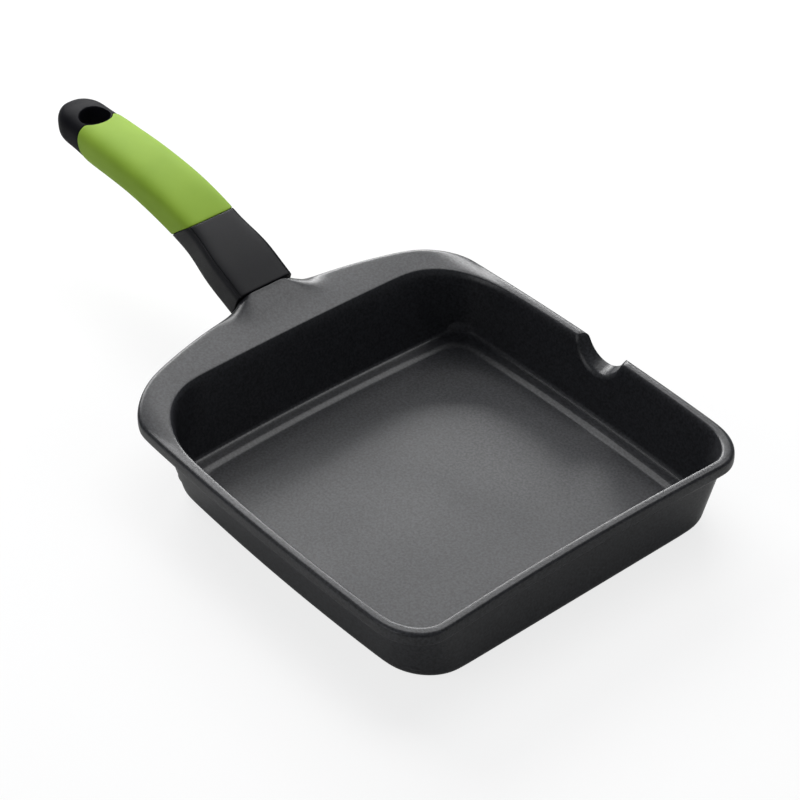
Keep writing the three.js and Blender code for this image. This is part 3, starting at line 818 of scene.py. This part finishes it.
groove = {"across": 0.885, "radius": 0.62, "from": -2, "pastSeam": 1.5, "points": 14}
grooveLength = handle["seamTop"] + groove["pastSeam"] - groove["from"]
for side in (-1, 1):
    grooveLoops = []
    for share in (0, 0.08, 0.2, 0.35, 0.5, 0.65, 0.8, 0.92, 1):
        distance = groove["from"] + grooveLength * share
        width, height, _, square = handleSize(max(0, distance))
        middle, run = onSpine(distance)
        over = Vector((run.z, 0, -run.x))
        up = (1 - groove["across"] ** square) ** (1 / square)
        centre = middle + over * (up * height / 2) + Vector((0, side * groove["across"] * width / 2, 0))
        radius = groove["radius"]
        grooveLoops.append([
            centre + over * (radius * sin(bearing)) + Vector((0, radius * cos(bearing), 0))
            for bearing in bearingsRound(groove["points"])
        ])
    grooveCutter = startRing("grooveCutter", grooveLoops[0])
    drawThrough(grooveLoops[1:])
    closeShape()
    cutWith(handleCore, grooveCutter)

# from inside the hole to outside the tail: radius, depth from the tail's own surface
hole = {"points": 56, "ease": [(8.5, -1.3), (8.62, -0.75), (9.0, -0.2), (9.6, 0.25), (10.4, 4)]}
holeMiddle = onSpine(handle["holePlace"])[0]


def holeLoop(radius, face, depth):  # face is 1 for the top, -1 for the underside
    loop = []
    width, height, belly, square = handleSize(handle["holePlace"])
    half = height / 2 + (belly if face < 0 else 0)
    for bearing in bearingsRound(hole["points"]):
        across = radius * sin(bearing)
        up = (1 - (abs(across) / (width / 2)) ** square) ** (1 / square) * half + depth
        loop.append(holeMiddle + Vector((radius * cos(bearing), across, face * up)))
    return loop


holeLoops = [holeLoop(radius, -1, depth) for radius, depth in reversed(hole["ease"])]
holeLoops += [holeLoop(radius, 1, depth) for radius, depth in hole["ease"]]
holeCutter = startRing("holeCutter", holeLoops[0])
drawThrough(holeLoops[1:])
closeShape()
cutWith(handleCore, holeCutter)
smoothPiece(handleCore, 40)
finishPiece(handleCore, "handle_core", phenolicMaterial)

# Grip sleeve, slipped over the core: outside first, then back along the inside
thickness, sleeveEdge = handle["sleeveThickness"], handle["sleeveEdge"]
edge = sleeveEdge[-1][0]
sleeveLoops = [handleLoop(seamAt(step), inset) for step, inset in sleeveEdge]
for share in (0.04, 0.12, 0.22, 0.32, 0.42, 0.52, 0.62, 0.72, 0.82, 0.9, 0.96):
    sleeveLoops.append(handleLoop(blendPlaces(seamAt(edge), tailSeamAt(-edge), share), 0))
sleeveLoops += [handleLoop(tailSeamAt(-step), inset) for step, inset in reversed(sleeveEdge)]
sleeveLoops.append(handleLoop(tailSeamAt(0), thickness))
for share in (0.9, 0.7, 0.5, 0.3, 0.1, 0):
    sleeveLoops.append(handleLoop(blendPlaces(seamAt(0), tailSeamAt(0), share), thickness))
gripSleeve = startRing("gripSleeve", sleeveLoops[-1])
drawThrough(sleeveLoops)
selectFaces(lambda face, centre: len(face.verts) > 4)
bpy.ops.mesh.delete(type="ONLY_FACE")
bpy.ops.mesh.select_mode(type="VERT")
bpy.ops.mesh.select_all(action="SELECT")
bpy.ops.mesh.remove_doubles(threshold=0.01 * mm)
closeShape()
applyModifier(gripSleeve, "SUBSURF", levels=2, render_levels=2)
smoothPiece(gripSleeve, 50)
finishPiece(gripSleeve, "grip_sleeve", siliconeMaterial)


# Screw and its split washer, under the neck
def screwLoop(radius, up, corners=0):
    loop = []
    for bearing in bearingsRound(screw["points"]):
        reach = radius
        if corners:
            part = pi / corners
            reach = radius * cos(part) / cos((bearing % (2 * part)) - part)
        loop.append(inNeck(screw["place"] + reach * cos(bearing), reach * sin(bearing), up))
    return loop


shank, head, headTop, headBottom = screw["radius"], screw["headRadius"], screw["headTop"], screw["headBottom"]
headRound = screw["headRound"]
screwLoops = [screwLoop(radius, up, screw["keyCorners"]) for radius, up in screw["key"]]
screwLoops += [screwLoop(radius, up) for radius, up in (
    (screw["keyFlare"], headBottom), (head - headRound, headBottom), (head, headBottom + headRound),
    (head, headTop), (shank, headTop), (shank, screw["tipStart"]), (screw["tipRadius"], screw["tip"]),
)]
handleScrew = startRing("handleScrew", screwLoops[0])
drawThrough(screwLoops[1:])
closeShape()
smoothPiece(handleScrew, 30)
finishPiece(handleScrew, "handle_screw", zincMaterial)

washer = {
    "inner": 2.8, "outer": 4.8, "top": -5.6, "thickness": 1, "edge": 0.15, "split": 20, "steps": 34,
}
clearSelection()
bpy.ops.mesh.primitive_plane_add(size=mm)
lockWasher = bpy.context.object
lockWasher.name = lockWasher.data.name = "lockWasher"
bpy.ops.object.mode_set(mode="EDIT")
bpy.ops.mesh.select_all(action="SELECT")
bpy.ops.transform.resize(value=(washer["outer"] - washer["inner"], washer["thickness"], 1))
bpy.ops.mesh.bevel(offset=washer["edge"] * mm, segments=2, affect="VERTICES")
shape = bmesh.from_edit_mesh(lockWasher.data)
for vert in shape.verts:  # stand the section up in the neck's frame
    out = vert.co.x / mm + (washer["outer"] + washer["inner"]) / 2
    up = vert.co.y / mm + washer["top"] - washer["thickness"] / 2
    vert.co = inNeck(screw["place"] + out, 0, up) * mm
bmesh.update_edit_mesh(lockWasher.data)
bpy.ops.mesh.spin(
    steps=washer["steps"], angle=radians(360 - washer["split"]),
    center=inNeck(screw["place"], 0, 0) * mm, axis=overNeck,
)
closeShape()
smoothPiece(lockWasher, 35)
finishPiece(lockWasher, "lock_washer", zincMaterial)

# Floor, light and white surroundings. Lamp sizes and distances are in metres.
studio = {
    "floor": "cacac8", "floorSize": 12, "floorDrop": 0.4,
    "seenFloor": "828282", "glow": 0.79, "glowInGloss": 0.1,
    "worldGrey": "747679", "worldStrength": 1, "lampDistance": 2,
    "lamps": {
        "backLight": {"azimuth": 142, "elevation": 24, "length": 1.05, "width": 0.5, "power": 21},
        "sideLight": {"azimuth": 170, "elevation": 33, "length": 0.9, "width": 0.8, "power": 18},
        "topLight": {"azimuth": 120, "elevation": 60, "length": 1.6, "width": 1, "power": 15.5},
        "fillLight": {"azimuth": 262, "elevation": 30, "length": 1.2, "width": 1.2, "power": 5},
    },
}
clearSelection()
bpy.ops.mesh.primitive_plane_add(size=studio["floorSize"], location=(0, 0, -studio["floorDrop"] * mm))
floorPlane = bpy.context.object
floorPlane.name = "floor"
floorMaterial, tree = newMaterial("paleFloor")
lightPath = addNode(tree, "ShaderNodeLightPath")
inGloss = addNode(tree, "ShaderNodeMath", {
    0: lightPath.outputs["Is Glossy Ray"], 1: studio["glowInGloss"],
}, operation="MULTIPLY")
seenDirectly = addNode(tree, "ShaderNodeMath", {
    0: lightPath.outputs["Is Camera Ray"], 1: inGloss.outputs["Value"],
}, operation="MAXIMUM")
seen = addNode(tree, "ShaderNodeMath", {
    0: seenDirectly.outputs["Value"], 1: lightPath.outputs["Is Transmission Ray"],
}, operation="MAXIMUM")
paper = addNode(tree, "ShaderNodeBsdfDiffuse", {"Color": hexColour(studio["floor"])})
shade = addNode(tree, "ShaderNodeBsdfDiffuse", {"Color": hexColour(studio["seenFloor"])})
glow = addNode(tree, "ShaderNodeEmission", {"Color": (1, 1, 1, 1), "Strength": studio["glow"]})
lifted = addNode(tree, "ShaderNodeAddShader", {0: shade.outputs["BSDF"], 1: glow.outputs["Emission"]})
floorMix = addNode(tree, "ShaderNodeMixShader", {
    0: seen.outputs["Value"], 1: paper.outputs["BSDF"], 2: lifted.outputs["Shader"],
})
addNode(tree, "ShaderNodeOutputMaterial", {"Surface": floorMix.outputs["Shader"]})
floorPlane.data.materials.append(floorMaterial)
for name, lamp in studio["lamps"].items():
    turn, rise = radians(lamp["azimuth"]), radians(lamp["elevation"])
    toLamp = Vector((cos(rise) * cos(turn), cos(rise) * sin(turn), sin(rise)))
    sideways = Vector((0, 0, 1)).cross(toLamp).normalized()
    bpy.ops.object.light_add(type="AREA")
    softbox = bpy.context.object
    softbox.name = name
    softbox.data.shape = "RECTANGLE"
    softbox.data.size, softbox.data.size_y = lamp["length"], lamp["width"]
    softbox.data.energy = lamp["power"]
    softbox.matrix_world = Matrix.Translation(toLamp * studio["lampDistance"]) @ Matrix(
        (sideways, toLamp.cross(sideways), toLamp)
    ).transposed().to_4x4()
world = bpy.data.worlds.new("studioGrey")
bpy.context.scene.world = world
world.use_nodes = True
world.node_tree.nodes.clear()
greyLight = addNode(world.node_tree, "ShaderNodeBackground", {
    "Color": hexColour(studio["worldGrey"]), "Strength": studio["worldStrength"],
})
addNode(world.node_tree, "ShaderNodeOutputWorld", {"Surface": greyLight.outputs["Background"]})
bpy.context.scene.view_settings.view_transform = "Standard"
print("studio lit")
